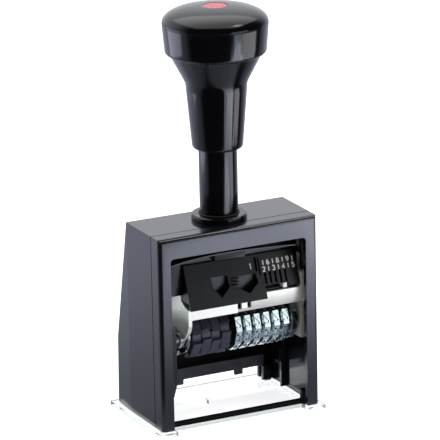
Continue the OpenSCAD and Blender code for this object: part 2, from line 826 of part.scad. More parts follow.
// A side cheek: a disc round the axle, an arm back to the rod and a lug to the detent comb
module cheek(x) {
  rim = type_r - base_t - 2 * seat;
  end_r = rod_r + 0.5;
  placed() difference() {
    union() {
      bar_x(x, x + cheek_t, rim);
      bar_x(x, x + cheek_t, end_r, plunger_y + rod_out, axle_z);
      along_x(x, x + cheek_t) polygon([
        [plunger_y, axle_z + 5], [plunger_y + rod_out, axle_z + end_r - 0.1],
        [plunger_y + rod_out, axle_z - end_r + 0.1], [plunger_y, axle_z - 5]
      ]);
      translate([x, plunger_y, axle_z]) rotate([-comb_angle, 0, 0])
        block([0, 0, -3], [cheek_t, comb_out + comb_t, 3]);
    }
    bar_x(x - CUT, x + cheek_t + CUT, axle_r);
    bar_x(x - CUT, x + cheek_t + CUT, rod_r, plunger_y + rod_out, axle_z);
  }
}

module left_cheek() {
  color("#a8aab0") cheek(cheek_l);
}

module right_cheek() {
  color("#a8aab0") cheek(cheek_r);
}

module rear_rod() {
  color("#c0c0c0") placed()
    bar_x(cheek_l, cheek_r + cheek_t, rod_r, plunger_y + rod_out, axle_z);
}

// The detent comb lies behind and below the wheels, one spring finger to each wheel
comb_angle = 52;
comb_out = head_r + gap;
comb_t = 0.5;
module detent_comb() {
  half = 2.6;
  color("#cfc28a") placed() translate([0, plunger_y, axle_z]) rotate([-comb_angle, 0, 0]) difference() {
    block([cheek_l + cheek_t, comb_out, -half], [cheek_r, comb_out + comb_t, half]);
    for (i = [1:DATE_WHEELS]) {
      x = date_x + i * pitch;
      block([x - 0.3, comb_out - CUT, -half - CUT], [x + 0.3, comb_out + comb_t + CUT, half - 1.4]);
    }
    for (i = [0:NUMBER_WHEELS]) {
      x = number_x + i * pitch;
      block([x - 0.3, comb_out - CUT, -half - CUT], [x + 0.3, comb_out + comb_t + CUT, half - 1.4]);
    }
  }
}

// The feed pawl: a sleeve on the rod with a finger down to each number wheel's ratchet
pawl_w = 0.8;
module feed_pawl() {
  sleeve = rod_r + 0.6;
  finger_x = rim_w + 0.25;
  tip = ratchet_r + 0.55;
  color("#c4ccd0") placed() difference() {
    union() {
      bar_x(number_x + gap, drive_x - gap, sleeve, plunger_y + rod_out, axle_z);
      for (i = [0:NUMBER_WHEELS - 1]) {
        x = number_x + i * pitch + finger_x;
        along_x(x, x + pawl_w) polygon([
          [plunger_y + rod_out + 0.3, axle_z + sleeve - 0.1],
          [plunger_y + tip, axle_z + 1], [plunger_y + tip - 0.3, axle_z + 0.1],
          [plunger_y + rod_out, axle_z - 1.2]
        ]);
      }
    }
    bar_x(number_x, drive_x, rod_r + fit, plunger_y + rod_out, axle_z);
  }
}

module wheel_spacer() {
  color("#202024") placed() difference() {
    bar_x(date_end + gap / 2, number_x - gap / 2, 3.4);
    bar_x(date_end, number_x, axle_r);
  }
}

// A ratchet disc: a round rim with ten notches cut into it
module ratchet(x0, x1, r) {
  depth = 0.9;
  difference() {
    bar_x(x0, x1, r);
    for (i = [0:FACETS - 1]) translate([0, plunger_y, axle_z]) rotate([36 * i, 0, 0])
      block([x0 - CUT, r - depth, -0.1], [x1 + CUT, r + CUT, 1.1]);
  }
}

module drive_ratchet() {
  color("#d0d2d4") placed() difference() {
    ratchet(drive_x, drive_x + drive_w, wheel_flat - 0.4);
    bar_x(drive_x - CUT, stack_r + CUT, axle_r);
  }
}

module crank_arm() {
  hub = 3.4;
  end_r = 2;
  pin_r = 1.2;
  pin_y = plunger_y - crank_throw;
  color("#b4b6ba") placed() {
    difference() {
      along_x(crank_x, crank_x + 1.4) {
        translate([plunger_y, axle_z]) circle(r = hub);
        translate([pin_y, axle_z]) circle(r = end_r);
        panel([pin_y, axle_z - end_r], [plunger_y, axle_z + end_r]);
      }
      bar_x(crank_x - CUT, crank_x + 2, axle_r);
    }
    bar_x(cam_x - 0.3, crank_x + seat, pin_r, pin_y, axle_z);
  }
}

module cam_roller() {
  color("#e0e0d8") placed() difference() {
    bar_x(cam_x, cam_x + cam_t, roller_r, plunger_y - crank_throw, axle_z);
    bar_x(cam_x - CUT, cam_x + cam_t + CUT, 1.2, plunger_y - crank_throw, axle_z);
  }
}

module axle_clip() {
  x = crank_x - clip_t;
  color("#8c8c90") placed() difference() {
    bar_x(x, crank_x, axle_r + 1.1);
    bar_x(x - CUT, crank_x + CUT, axle_r);
    block([x - CUT, plunger_y - axle_r * 0.7, axle_z - axle_r - 3],
          [crank_x + CUT, plunger_y + axle_r * 0.7, axle_z]);
  }
}

// ---------- wheels ----------

// A ten sided prism round the axle, one flat facing up, from x0 to x1
module decagon_x(x0, x1, flat) {
  translate([x0, plunger_y, axle_z]) rotate([0, 90, 0]) rotate([0, 0, 18])
    cylinder(r = flat / cos(18), h = x1 - x0, $fn = FACETS);
}

// A raised type block on each facet, rooted at a radius below the wheel's surface
module type_blocks(x0, x1, half, root, turn) {
  for (i = [0:FACETS - 1]) translate([0, plunger_y, axle_z]) rotate([turn + 360 / FACETS * i, 0, 0])
    block([x0, -half, root], [x1, half, type_r]);
}

module number_wheel(i) {
  x = number_x + (i - 1) * pitch;
  color("#dfe3e4") placed() difference() {
    union() {
      decagon_x(x + 0.1, x + 0.1 + rim_w, wheel_flat);
      type_blocks(x + 0.35, x + rim_w - 0.15, 1.7, wheel_flat - 0.5, 0);
      ratchet(x + rim_w, x + pitch - 0.1, ratchet_r);
    }
    bar_x(x - CUT, x + pitch + CUT, axle_r + fit);
  }
}

// The black date wheels stand at different turns, as they are set one by one. Each has five
// broad flat plates.
date_turn = [54, 46, 52, 36.5];
date_half = 3.85;
date_flat = sqrt(pow(head_r, 2) - pow(date_half, 2));
PLATES = 5;
module date_wheel(i) {
  x = date_x + (i - 1) * pitch;
  hub = wheel_flat - 0.9;
  color("#2b2b30") placed() difference() {
    union() {
      bar_x(x + 0.1, x + pitch - 0.1, hub);
      for (k = [0:PLATES - 1]) translate([0, plunger_y, axle_z])
        rotate([date_turn[i - 1] + 360 / PLATES * k, 0, 0])
          block([x + 0.2, -date_half, hub - 1.5], [x + pitch - 0.2, date_half, date_flat]);
    }
    bar_x(x - CUT, x + pitch + CUT, axle_r + fit);
  }
}

module number_wheel_1() { number_wheel(1); }
module number_wheel_2() { number_wheel(2); }
module number_wheel_3() { number_wheel(3); }
module number_wheel_4() { number_wheel(4); }
module number_wheel_5() { number_wheel(5); }
module number_wheel_6() { number_wheel(6); }
module date_wheel_1() { date_wheel(1); }
module date_wheel_2() { date_wheel(2); }
module date_wheel_3() { date_wheel(3); }
module date_wheel_4() { date_wheel(4); }

// ---------- return spring ----------

// One unbroken wire: a straight end, the curls, and a straight end, as rings of six points
RINGS = 8;
SIDES = 6;
end_run = 2 * wire_r;
spring_foot = bridge_z + bridge_t;
spring_low = spring_foot + end_run;
spring_high = spring_top - end_run;
lead = (spring_high - spring_low) / curls;
ring_count = curls * RINGS;
// Centre of the wire at ring i: rings -1 and ring_count + 1 stand on the two seats
function wire_at(i) = let (
  k = min(max(i, 0), ring_count), a = 360 * k / RINGS,
  z = i < 0 ? spring_foot : i > ring_count ? spring_top : spring_low + lead * k / RINGS
) [spring_r * cos(a), spring_r * sin(a), z];
// Direction of the wire at ring i: along the coil, upright on the seats, between them at a bend
function wire_dir(i) = let (
  a = 360 * min(max(i, 0), ring_count) / RINGS,
  d = [-2 * PI * spring_r * sin(a), 2 * PI * spring_r * cos(a), lead],
  along = d / norm(d)
) i < 0 || i > ring_count ? [0, 0, 1]
  : i == 0 || i == ring_count ? (along + [0, 0, 1]) / norm(along + [0, 0, 1])
  : along;
// A point of ring i on the wire's skin
function skin(i, k) = let (
  b = 360 * min(max(i, 0), ring_count) / RINGS,
  radial = [cos(b), sin(b), 0],
  up = cross(radial, wire_dir(i)),
  a = 360 * k / SIDES
) wire_at(i) + wire_r * (cos(a) * radial + sin(a) * up);
// Least gap between neighbouring curls, from points on the wire
function spring_gap() = min([
  for (i = [0:ring_count - RINGS]) norm(wire_at(i + RINGS) - wire_at(i)) - 2 * wire_r
]);

module return_spring() {
  last = ring_count + 2;
  points = [for (i = [-1:ring_count + 1]) for (k = [0:SIDES - 1]) skin(i, k)];
  sides = [
    for (i = [0:last - 1]) for (k = [0:SIDES - 1]) let (
      a = i * SIDES + k, b = i * SIDES + (k + 1) % SIDES
    ) for (f = [[a, a + SIDES, b], [b, a + SIDES, b + SIDES]]) f
  ];
  first_cap = [for (k = [1:SIDES - 2]) [0, k, k + 1]];
  last_cap = [for (k = [1:SIDES - 2]) [last * SIDES, last * SIDES + k + 1, last * SIDES + k]];
  color("#9a9a9e") placed() translate([0, plunger_y, 0])
    polyhedron(points = points, faces = concat(sides, first_cap, last_cap));
}

rear_shell();
front_bezel();
rear_rail();
base_plate();
base_screws();
shaft_collar();
wiper_ring();
cartridge_frame();
ink_cartridge();
ink_pad();
scale_plate();
cam_plate();
return_spring();
plunger_shaft();
spring_cap();
handle_grip();
handle_cap();
handle_disc();
stirrup();
axle();
left_cheek();
right_cheek();
rear_rod();
detent_comb();
wheel_spacer();
drive_ratchet();
crank_arm();
cam_roller();
axle_clip();
feed_pawl();
selector_peg();
number_wheel_1();
number_wheel_2();
number_wheel_3();
number_wheel_4();
number_wheel_5();
number_wheel_6();
date_wheel_1();
date_wheel_2();
date_wheel_3();
date_wheel_4();
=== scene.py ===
"""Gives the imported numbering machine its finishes, its figures and its fine detail.

Metres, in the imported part's own frame: X runs along the wheels, the open window faces -Y
and Z is up. A piece that stands for a CAD node takes its place and size from that node.
"""

import logging
import math
from collections.abc import Sequence
from dataclasses import dataclass
from enum import Enum

import bmesh
import bpy
import numpy as np
from mathutils import Matrix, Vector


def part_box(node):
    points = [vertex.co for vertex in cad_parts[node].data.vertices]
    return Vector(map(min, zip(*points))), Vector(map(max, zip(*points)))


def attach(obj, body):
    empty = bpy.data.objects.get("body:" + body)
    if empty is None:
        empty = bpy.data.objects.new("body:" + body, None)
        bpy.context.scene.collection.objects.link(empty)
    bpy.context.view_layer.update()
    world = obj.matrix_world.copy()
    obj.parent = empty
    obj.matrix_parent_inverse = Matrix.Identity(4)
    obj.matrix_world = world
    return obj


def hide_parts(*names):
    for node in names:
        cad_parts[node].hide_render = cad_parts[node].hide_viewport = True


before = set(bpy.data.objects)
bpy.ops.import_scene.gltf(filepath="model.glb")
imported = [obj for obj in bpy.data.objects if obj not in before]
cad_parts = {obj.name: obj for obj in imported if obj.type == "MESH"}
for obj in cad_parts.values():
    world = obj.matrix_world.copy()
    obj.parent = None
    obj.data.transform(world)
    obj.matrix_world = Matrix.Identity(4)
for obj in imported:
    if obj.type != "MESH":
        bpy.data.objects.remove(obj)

MM = 0.001
# Edges sharper than this stay sharp, and those sharper than the next are broken
SHARP_DEG = 30.0
BROKEN_DEG = 35.0
LOG = logging.getLogger("numbering_machine")
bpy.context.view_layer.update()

Socket = bpy.types.NodeSocket
Tree = bpy.types.NodeTree
Point = tuple[float, float, float]


# ---------- colours and shader nodes ----------


def linear(colour: str) -> tuple[float, float, float, float]:
    """Turns an sRGB hex colour into linear light.

    Args:
        colour: the colour as "#rrggbb".

    Returns:
        Red, green and blue, each from 0 to 1, and an alpha of 1.
    """
    values = np.array([int(colour[i : i + 2], 16) for i in (1, 3, 5)]) / 255
    light = np.where(values <= 0.04045, values / 12.92, ((values + 0.055) / 1.055) ** 2.4)
    return (float(light[0]), float(light[1]), float(light[2]), 1.0)


def add_node(tree: Tree, kind: str, inputs: dict | None = None, **settings) -> bpy.types.Node:
    """Adds a shader node with its settings and links.

    Args:
        tree: the material's or the world's node tree.
        kind: the node's type name without "ShaderNode".
        inputs: for each input, by name or number, a value or the output that feeds it.
        **settings: the node's own properties.

    Returns:
        The new node.
    """
    node = tree.nodes.new(f"ShaderNode{kind}")
    for key, value in settings.items():
        setattr(node, key, value)
    for key, value in (inputs or {}).items():
        if isinstance(value, Socket):
            tree.links.new(value, node.inputs[key])
        else:
            node.inputs[key].default_value = value
    return node


def math_node(tree: Tree, operation: str, *values: Socket | float, **settings) -> Socket:
    """Adds a calculation to a node tree.

    Args:
        tree: the material's or the world's node tree.
        operation: the calculation's name.
        *values: what it calculates with.
        **settings: the node's own properties.

    Returns:
        The result.
    """
    node = add_node(tree, "Math", dict(enumerate(values)), operation=operation, **settings)
    return node.outputs[0]


def ramp(
    tree: Tree, value: Socket, span: tuple[float, float], low: float, high: float, kind: str = "SMOOTHSTEP"
) -> Socket:
    """Adds a step from one level to another.

    Args:
        tree: the material's or the world's node tree.
        value: what the step runs along.
        span: where it starts and ends.
        low: the level at its start.
        high: the level at its end.
        kind: how it runs between them.

    Returns:
        The level.
    """
    levels = {"Value": value, "From Min": span[0], "From Max": span[1], "To Min": low, "To Max": high}
    return add_node(tree, "MapRange", levels, interpolation_type=kind).outputs["Result"]


# ---------- finishes ----------


@dataclass(frozen=True)
class Finish:
    """A surface: what it is made of, and how it was made.

    Sizes of patterns are in millimetres on the object, and bumps are their real height.
    """

    name: str
    colour: str
    roughness: float = 0.4
    metallic: float = 0.0
    ior: float = 1.5
    shade: str = "#000000"
    shade_share: float = 0.15
    cloud_mm: float = 9.0
    grain_mm: float = 0.35
    grain_height_mm: float = 0.004
    rough_swing: float = 0.08
    coat: float = 0.0
    coat_roughness: float = 0.1
    transmission: float = 0.0

    def stretch(self) -> tuple[float, float, float]:
        """Returns how much finer the grain is along each axis: even on a moulding."""
        return (1.0, 1.0, 1.0)

    def build(self) -> bpy.types.Material:
        """Builds the material once and hands back the same one after that.

        Returns:
            The material.
        """
        known = bpy.data.materials.get(self.name)
        if known is not None:
            return known
        material = bpy.data.materials.new(self.name)
        material.use_nodes = True
        tree = material.node_tree
        tree.nodes.clear()
        place = add_node(tree, "TexCoord").outputs["Object"]
        # Slow clouding in the colour, as handling and dust leave on every surface
        cloud = add_node(
            tree, "TexNoise", {"Vector": place, "Scale": 1 / (self.cloud_mm * MM), "Detail": 4.0}
        )
        veil = ramp(tree, cloud.outputs["Fac"], (0.35, 0.7), 0.0, self.shade_share, "LINEAR")
        tint = add_node(
            tree,
            "Mix",
            {"Factor": veil, 6: linear(self.colour), 7: linear(self.shade)},
            data_type="RGBA",
        )
        # Fine grain from the tool that shaped the surface
        fine = add_node(tree, "Mapping", {"Vector": place, "Scale": self.stretch()})
        grain = add_node(
            tree,
            "TexNoise",
            {"Vector": fine.outputs["Vector"], "Scale": 1 / (self.grain_mm * MM), "Detail": 3.0},
        )
        smooth, rough = max(self.roughness - self.rough_swing, 0.02), self.roughness + self.rough_swing
        gloss = ramp(tree, grain.outputs["Fac"], (0.3, 0.7), smooth, rough, "LINEAR")
        bump = add_node(
            tree,
            "Bump",
            {"Height": grain.outputs["Fac"], "Distance": self.grain_height_mm * MM, "Strength": 1.0},
        )
        shader = add_node(
            tree,
            "BsdfPrincipled",
            {
                "Base Color": tint.outputs[2],
                "Roughness": gloss,
                "Normal": bump.outputs["Normal"],
                "Metallic": self.metallic,
                "IOR": self.ior,
                "Coat Weight": self.coat,
                "Coat Roughness": self.coat_roughness,
                "Transmission Weight": self.transmission,
            },
        )
        add_node(tree, "OutputMaterial", {"Surface": shader.outputs["BSDF"]})
        return material


@dataclass(frozen=True)
class BrushedFinish(Finish):
    """Steel strip: the rolls and the belt leave fine lines along X."""

    def stretch(self) -> tuple[float, float, float]:
        """Returns a grain that is long along X and fine across it."""
        return (0.06, 1.0, 1.0)


@dataclass(frozen=True)
class TurnedFinish(Finish):
    """Turned steel: the tool leaves fine rings across the axle."""

    def stretch(self) -> tuple[float, float, float]:
        """Returns a grain that is fine along X and long round the axle."""
        return (1.0, 0.08, 0.08)


class Finishes(Enum):
    """Every finish on the object."""

    # Gloss black ABS from a polished mould: dark, with clear reflections at a low angle
    CASING = Finish(
        "casing_gloss_abs", "#0d0e14", 0.13, shade="#15161e", shade_share=0.5, cloud_mm=26.0, grain_mm=0.9,
        grain_height_mm=0.0016, rough_swing=0.03, ior=1.58, coat=0.25, coat_roughness=0.08,
    )
    # The front frame is the same ABS from a mould with a finer matt: light spreads on it
    BEZEL = Finish(
        "bezel_satin_abs", "#0e0f14", 0.22, shade="#16171d", shade_share=0.5, cloud_mm=22.0, grain_mm=0.6,
        grain_height_mm=0.0018, rough_swing=0.03, ior=1.58, coat=0.25, coat_roughness=0.12,
    )
    # Inside of the casing: the same ABS off the mould's spark eroded core, dull, with a darker colour than
    # outside that is painted shade inside the casing
    CASING_INSIDE_PAINTED_SHADE = Finish(
        "casing_inside_matt_abs_painted_shade", "#040405", 0.75, shade="#08080a", shade_share=0.5, cloud_mm=12.0,
        grain_mm=0.4, grain_height_mm=0.02, rough_swing=0.05, ior=1.3,
    )
    # Knob and shaft: ABS, polished by hands
    GRIP = Finish(
        "grip_polished_abs", "#040406", 0.14, shade="#08080c", shade_share=0.5, cloud_mm=14.0, grain_mm=0.7,
        grain_height_mm=0.0016, rough_swing=0.03, ior=1.55,
    )
    # Inner mouldings: satin black nylon with glass, a faint mottle
    INNER = Finish(
        "inner_satin_nylon", "#08080a", 0.26, shade="#161619", shade_share=0.6, cloud_mm=6.0, grain_mm=0.3,
        grain_height_mm=0.006,
    )
    # The rail: grey nylon, satin from the mould
    RAIL = Finish(
        "rail_satin_nylon", "#34343d", 0.4, shade="#24242b", shade_share=0.6, cloud_mm=5.0, grain_mm=0.3,
        grain_height_mm=0.006,
    )
    # Cartridge and scale plate: ABS from a mould with a fine spark eroded skin
    CARTRIDGE = Finish(
        "cartridge_satin_abs", "#0b0b0e", 0.34, shade="#121215", shade_share=0.5, cloud_mm=7.0, grain_mm=0.25,
        grain_height_mm=0.005,
    )
    # Date wheels: moulded acetal, dark, with a slight sheen
    DATE_WHEEL = Finish(
        "date_wheel_acetal", "#343442", 0.32, shade="#20202a", shade_share=0.6, cloud_mm=2.5, grain_mm=0.2,
        grain_height_mm=0.004,
    )
    # Cast zinc wheels with a blue chromate: bright, faintly green blue
    WHEEL = TurnedFinish(
        "wheel_plated_zinc", "#dfe9e8", 0.2, metallic=1.0, shade="#9fb4b6", shade_share=0.45, cloud_mm=1.6,
        grain_mm=0.12, grain_height_mm=0.002, rough_swing=0.07,
    )
    # Nickel plated steel strip under a milky lacquer, slightly warm
    STIRRUP = BrushedFinish(
        "stirrup_nickel_steel", "#f4f3e6", 0.3, metallic=0.55, shade="#d9d9cf", shade_share=0.3, cloud_mm=8.0,
        grain_mm=0.14, grain_height_mm=0.0006, rough_swing=0.03,
    )
    # Bright steel, turned on a lathe
    AXLE = TurnedFinish(
        "axle_turned_steel", "#a9abae", 0.28, metallic=1.0, shade="#6f7276", shade_share=0.4, cloud_mm=3.0,
        grain_mm=0.1, grain_height_mm=0.002,
    )
    # Spring steel: drawn, then tempered to a warm grey
    SPRING = Finish(
        "spring_drawn_steel", "#9c968c", 0.32, metallic=1.0, shade="#6d675d", shade_share=0.4, cloud_mm=2.0,
        grain_mm=0.1, grain_height_mm=0.002,
    )
    # Cast acrylic: clear, polished, with a cool edge
    ACRYLIC = Finish(
        "base_clear_acrylic", "#dde2e0", 0.05, ior=1.49, shade="#d2d8d6", shade_share=0.4, cloud_mm=20.0,
        grain_mm=1.5, grain_height_mm=0.001, rough_swing=0.02, transmission=1.0,
    )
    # White acetal: moulded, with a soft sheen
    PEG = Finish(
        "peg_white_acetal", "#f4f4f2", 0.35, shade="#dcdcd8", shade_share=0.3, cloud_mm=1.5, grain_mm=0.2,
        grain_height_mm=0.002,
    )
    # Pad printed white ink: a thin chalky film
    PRINT = Finish(
        "printed_white_ink", "#e9e9e6", 0.6, shade="#b9b9b6", shade_share=0.5, cloud_mm=0.8, grain_mm=0.1,
        grain_height_mm=0.002,
    )
    # Red ABS from a polished mould
    DISC = Finish(
        "disc_red_abs", "#e0343c", 0.3, shade="#b81f28", shade_share=0.3, cloud_mm=4.0, grain_mm=0.4,
        grain_height_mm=0.002, coat=0.3,
    )
    # Wool felt soaked with ink: matt, with a coarse nap
    FELT = Finish(
        "pad_inked_felt", "#1c1830", 0.9, shade="#0c0a18", shade_share=0.8, cloud_mm=1.2, grain_mm=0.25,
        grain_height_mm=0.08, rough_swing=0.05,
    )
    # Black rubber, moulded and dull
    RUBBER = Finish(
        "wiper_rubber", "#0c0c0d", 0.6, shade="#1a1a1b", shade_share=0.5, cloud_mm=2.0, grain_mm=0.15,
        grain_height_mm=0.006,
    )


# ---------- meshes ----------


def grid_faces(rows: int, cols: int, wrap_rows: bool) -> np.ndarray:
    """Quads of a grid of points numbered row by row, in which each row is a closed ring.

    Args:
        rows: number of rows.
        cols: points in a row.
        wrap_rows: whether the last row joins the first.

    Returns:
        One row of four point numbers for each face.
    """
    i, j = np.meshgrid(np.arange(rows if wrap_rows else rows - 1), np.arange(cols), indexing="ij")
    k, m = (i + 1) % rows, (j + 1) % cols
    return np.stack([i * cols + j, i * cols + m, k * cols + m, k * cols + j], -1).reshape(-1, 4)


def unit(rows: np.ndarray) -> np.ndarray:
    """Scales each row to a length of one.

    Args:
        rows: one vector in each row.

    Returns:
        The same directions, each one long.
    """
    return rows / np.linalg.norm(rows, axis=1, keepdims=True)


@dataclass
class Surface:
    """Points and faces on their way into one mesh."""

    points: np.ndarray
    faces: list

    @staticmethod
    def joined(parts: Sequence["Surface"]) -> "Surface":
        """Puts several surfaces into one.

        Args:
            parts: the surfaces, in order.

        Returns:
            One surface with all their points and faces.
        """
        starts = np.cumsum([0] + [len(p.points) for p in parts[:-1]])
        faces = [tuple(int(v) + int(s) for v in f) for p, s in zip(parts, starts) for f in p.faces]
        return Surface(np.concatenate([p.points for p in parts]), faces)


def revolved(profile: np.ndarray, axis_y: float, turns: int = 144) -> Surface:
    """A profile of (radius, height) carried round an upright axis, closed on itself.

    Point (i, j) is radius i times the cosine and sine of angle j, at height i.

    Args:
        profile: the closed profile's points, counter-clockwise with radius to the right.
        axis_y: the axis's place behind the origin.
        turns: points round the axis.

    Returns:
        The closed surface.
    """
    angle = np.linspace(0, 2 * np.pi, turns, endpoint=False)
    r, z = profile[:, :1], profile[:, 1:]
    points = np.stack([r * np.cos(angle), axis_y + r * np.sin(angle), z + 0 * angle], -1)
    faces = grid_faces(len(profile), turns, wrap_rows=True)[:, ::-1]
    return Surface(points.reshape(-1, 3), faces.tolist())


def ring_along_x(xs: np.ndarray, radii: np.ndarray, angles: np.ndarray, axis: tuple[float, float]) -> Surface:
    """A solid ring round an axle along X, whose skin is a grid of stations by angles.

    Point (i, j) stands at xs[i], at radii[i, j] from the axle in the direction angles[j],
    which is counted from upright towards the front.

    Args:
        xs: the stations' places along X, once round the ring's section.
        radii: the radius at each station and angle.
        angles: the directions, in radians.
        axis: the axle's (y, z).

    Returns:
        The closed surface.
    """
    x = np.repeat(xs[:, None], len(angles), 1)
    y = axis[0] - radii * np.sin(angles)
    z = axis[1] + radii * np.cos(angles)
    faces = grid_faces(len(xs), len(angles), wrap_rows=True)
    return Surface(np.stack([x, y, z], -1).reshape(-1, 3), faces.tolist())


def rounded(corners: Sequence[tuple[float, float, float]], steps: int = 5) -> np.ndarray:
    """A closed outline whose corners are rounded.

    Each corner becomes a quadratic curve between points that lie its radius before it and
    after it, with the corner as the middle control point.

    Args:
        corners: (u, v, radius) in order.
        steps: points on each rounded corner.

    Returns:
        The outline's points.
    """
    c = np.array(corners, float)
    here, r = c[:, :2], c[:, 2:]
    before, after = np.roll(here, 1, 0) - here, np.roll(here, -1, 0) - here
    start = here + unit(before) * r
    end = here + unit(after) * r
    t = np.linspace(0, 1, steps)[None, :, None]
    curve = (1 - t) ** 2 * start[:, None] + 2 * t * (1 - t) * here[:, None] + t**2 * end[:, None]
    return curve.reshape(-1, 2)


def shown(mesh: bpy.types.Mesh) -> bpy.types.Object:
    """Shades a mesh smooth apart from its sharp edges, and puts it in the scene.

    Args:
        mesh: the mesh, whose name the object takes.

    Returns:
        The object, at the origin.
    """
    mesh.shade_smooth()
    mesh.set_sharp_from_angle(angle=math.radians(SHARP_DEG))
    piece = bpy.data.objects.new(mesh.name, mesh)
    bpy.context.scene.collection.objects.link(piece)
    return piece


def to_object(name: str, surface: Surface) -> bpy.types.Object:
    """Makes a mesh object from a surface.

    Args:
        name: the piece's name.
        surface: its points and faces.

    Returns:
        The object, in the scene.
    """
    mesh = bpy.data.meshes.new(name)
    mesh.from_pydata(surface.points.tolist(), [], surface.faces)
    mesh.validate()
    return shown(mesh)


def merged_copy(
    node: str, name: str, same_point_mm: float = 0.002, flat_deg: float = 0.4
) -> bpy.types.Object:
    """Copies a CAD node's loose triangles into one merged mesh with whole flat faces.

    Args:
        node: the CAD node.
        name: the new piece's name.
        same_point_mm: points closer than this become one.
        flat_deg: faces that meet at less than this become one.

    Returns:
        The new object.
    """
    shape = bmesh.new()
    shape.from_mesh(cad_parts[node].data)
    bmesh.ops.remove_doubles(shape, verts=shape.verts, dist=same_point_mm * MM)
    flat = math.radians(flat_deg)
    bmesh.ops.dissolve_limit(shape, angle_limit=flat, verts=shape.verts, edges=shape.edges)
    mesh = bpy.data.meshes.new(name)
    shape.to_mesh(mesh)
    shape.free()
    return shown(mesh)


def eased(piece: bpy.types.Object, width_mm: float, segments: int = 2) -> None:
    """Breaks a piece's sharp edges, so that they catch the light.

    Args:
        piece: the object.
        width_mm: width of the broken edge.
        segments: facets across it.
    """
    bevel = piece.modifiers.new("eased_edges", "BEVEL")
    bevel.width = width_mm * MM
    bevel.segments = segments
    bevel.limit_method = "ANGLE"
    bevel.angle_limit = math.radians(BROKEN_DEG)
    bevel.harden_normals = True
    bevel.use_clamp_overlap = True


@dataclass(frozen=True)
class Place:
    """Where a piece belongs: the body it rides on and the record's material slot."""

    body: str
    slot: str


class SubAssembly:
    """A group of pieces that are dressed together."""

    def dress(
        self, piece: bpy.types.Object, finish: Finishes, place: Place, stands_for: Sequence[str] = ()
    ) -> None:
        """Gives a piece its finish and its body.

        Args:
            piece: the object.
            finish: its finish.
            place: its body and slot.
            stands_for: CAD nodes that it stands for.
        """
        piece.data.materials.clear()
        piece.data.materials.append(finish.value.build())
        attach(piece, place.body)
        if stands_for:
            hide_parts(*stands_for)
        LOG.info("%s: %d faces", piece.name, len(piece.data.polygons))

    def eased_node(
        self, node: str, finish: Finishes, place: Place, width_mm: float, segments: int = 2
    ) -> bpy.types.Object:
        """Stands a merged copy with broken edges in for a CAD node.

        Args:
            node: the CAD node.
            finish: the copy's finish.
            place: its body and slot.
            width_mm: width of the broken edges.
            segments: facets across them.

        Returns:
            The copy.
        """
        piece = merged_copy(node, f"{node}_finished")
        eased(piece, width_mm, segments)
        self.dress(piece, finish, place, (node,))
        return piece

    def build(self) -> None:
        """Builds and dresses the group's pieces."""
        raise NotImplementedError


# ---------- figures ----------


def arc(x: float, y: float, rx: float, ry: float, start: float, end: float, steps: int = 13) -> np.ndarray:
    """Points on an ellipse's arc: centre plus radii times the cosine and sine of the angle.

    Args:
        x: centre across.
        y: centre up.
        rx: radius across.
        ry: radius up.
        start: first angle in degrees.
        end: last angle in degrees.
        steps: number of points.

    Returns:
        The points.
    """
    a = np.radians(np.linspace(start, end, steps))
    return np.stack([x + rx * np.cos(a), y + ry * np.sin(a)], -1)


# Each figure is drawn one high and about 0.6 wide round its middle, as one or more strokes
STROKES: dict[str, list[np.ndarray]] = {
    "0": [arc(0, 0, 0.27, 0.5, 0, 345, 24)],
    "1": [np.array([[-0.14, 0.3], [0.04, 0.5], [0.04, -0.5]])],
    "2": [np.concatenate([arc(0, 0.22, 0.27, 0.28, 165, -35), [[-0.27, -0.5], [0.29, -0.5]]])],
    "3": [np.concatenate([arc(-0.02, 0.25, 0.25, 0.25, 150, -80), arc(-0.02, -0.24, 0.29, 0.26, 80, -150)])],
    "4": [np.array([[0.12, -0.5], [0.12, 0.5], [-0.3, -0.18], [0.3, -0.18]])],
    "5": [
        np.concatenate([[[0.24, 0.5], [-0.2, 0.5], [-0.22, 0.08]], arc(-0.02, -0.17, 0.29, 0.33, 120, -150)])
    ],
    "6": [np.concatenate([arc(0.2, -0.1, 0.47, 0.6, 100, 165), arc(0, -0.2, 0.27, 0.3, 165, 500, 22)])],
    "7": [np.array([[-0.27, 0.5], [0.28, 0.5], [-0.06, -0.5]])],
    "8": [arc(0, 0.25, 0.22, 0.25, 0, 345, 20), arc(0, -0.24, 0.28, 0.26, 0, 345, 20)],
    "9": [np.concatenate([arc(-0.2, 0.1, 0.47, 0.6, -80, -15), arc(0, 0.2, 0.27, 0.3, -15, 320, 22)])],
    "|": [np.array([[0.0, -0.5], [0.0, 0.5]])],
}
CLOSED_FIGURES = "08"


def stroke_surface(path: np.ndarray, closed: bool, half: float, height: float, top_share: float) -> Surface:
    """A ridge along a flat path: its section, a trapezoid, carried along the path.

    Point (i, j) is path point i plus section point j's offset along the path's normal there.

    Args:
        path: the points (u, v).
        closed: whether the path's end joins its start.
        half: half the ridge's width at its foot.
        height: the ridge's height.
        top_share: its width at the top as a share of the foot's.

    Returns:
        The closed surface, with points (u, v, height).
    """
    ahead, behind = np.roll(path, -1, 0) - path, path - np.roll(path, 1, 0)
    if not closed:
        ahead[-1], behind[0] = behind[-1], ahead[0]
    along = unit(unit(ahead) + unit(behind))
    # A mitre widens the section where the path bends
    mitre = 1 / np.clip((along * unit(ahead)).sum(1, keepdims=True), 0.6, 1)
    normal = np.stack([-along[:, 1], along[:, 0]], -1) * mitre
    offset = np.array([-1, 1, top_share, -top_share]) * half
    lift = np.array([0, 0, height, height])
    flat = path[:, None] + normal[:, None] * offset[None, :, None]
    points = np.concatenate([flat, np.broadcast_to(lift[None, :, None], (len(path), 4, 1))], -1)
    faces = grid_faces(len(path), 4, wrap_rows=closed)[:, ::-1].tolist()
    if not closed:
        last = 4 * (len(path) - 1)
        faces += [[0, 1, 2, 3], [last + 3, last + 2, last + 1, last]]
    return Surface(points.reshape(-1, 3), faces)


